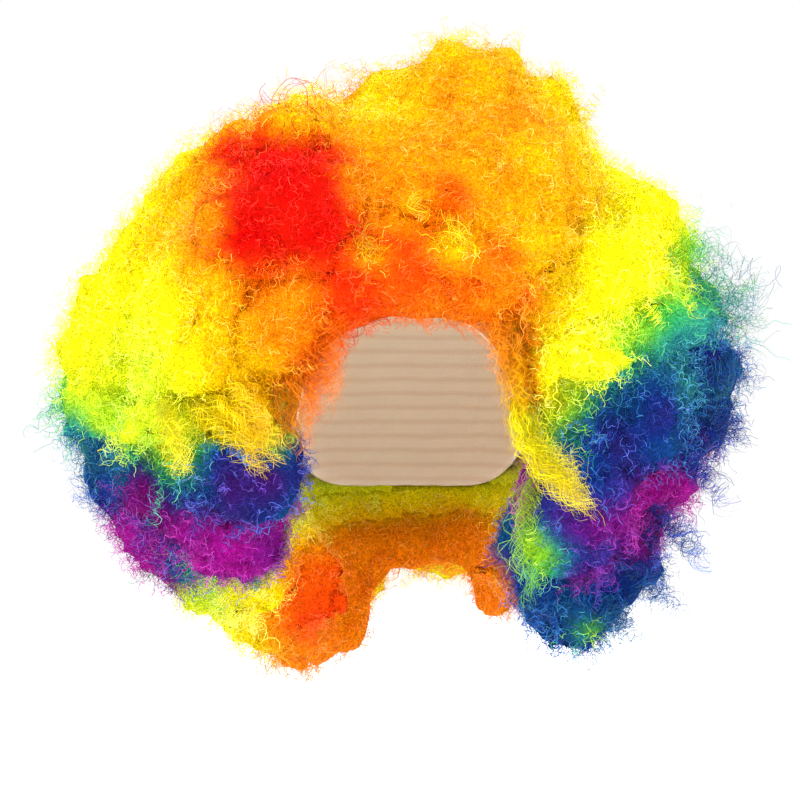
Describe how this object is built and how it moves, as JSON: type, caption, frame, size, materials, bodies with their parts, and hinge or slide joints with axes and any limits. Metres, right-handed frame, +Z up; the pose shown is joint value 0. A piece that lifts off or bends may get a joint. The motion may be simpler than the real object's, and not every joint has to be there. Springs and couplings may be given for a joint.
{
  "type": "afro wig",
  "caption": "Round rainbow afro wig: a fitted cloth cap that carries deep rows of frizzy curled hair in bands from a red and amber crown through yellow, green and blue to an orange nape",
  "frame": {"origin": "top of the cap's inside, where the crown of the head touches it", "axes": "+Z up, the face looks along -Y, +X to the left side of the head"},
  "size_m": [0.4271, 0.3578, 0.3803],
  "materials": {
    "cap": "matte stretch cloth",
    "hair_orange_fringe": "frizzy satin fibre",
    "hair_red_tuft": "frizzy satin fibre",
    "hair_blue_tuft": "frizzy satin fibre",
    "hair_amber_crown": "frizzy satin fibre",
    "hair_yellow_sides": "frizzy satin fibre",
    "hair_green_sides": "frizzy satin fibre",
    "hair_blue_sides": "frizzy satin fibre",
    "hair_purple_sides": "frizzy satin fibre",
    "hair_lime_nape": "frizzy satin fibre",
    "hair_yellow_nape": "frizzy satin fibre",
    "hair_orange_nape": "frizzy satin fibre"
  },
  "bodies": {
    "root": {"cap": "cap", "hair_orange_fringe": "hair_orange_fringe", "hair_red_tuft": "hair_red_tuft", "hair_blue_tuft": "hair_blue_tuft", "hair_amber_crown": "hair_amber_crown", "hair_yellow_sides": "hair_yellow_sides", "hair_green_sides": "hair_green_sides", "hair_blue_sides": "hair_blue_sides", "hair_purple_sides": "hair_purple_sides", "hair_lime_nape": "hair_lime_nape", "hair_yellow_nape": "hair_yellow_nape", "hair_orange_nape": "hair_orange_nape"}
  },
  "joints": []
}
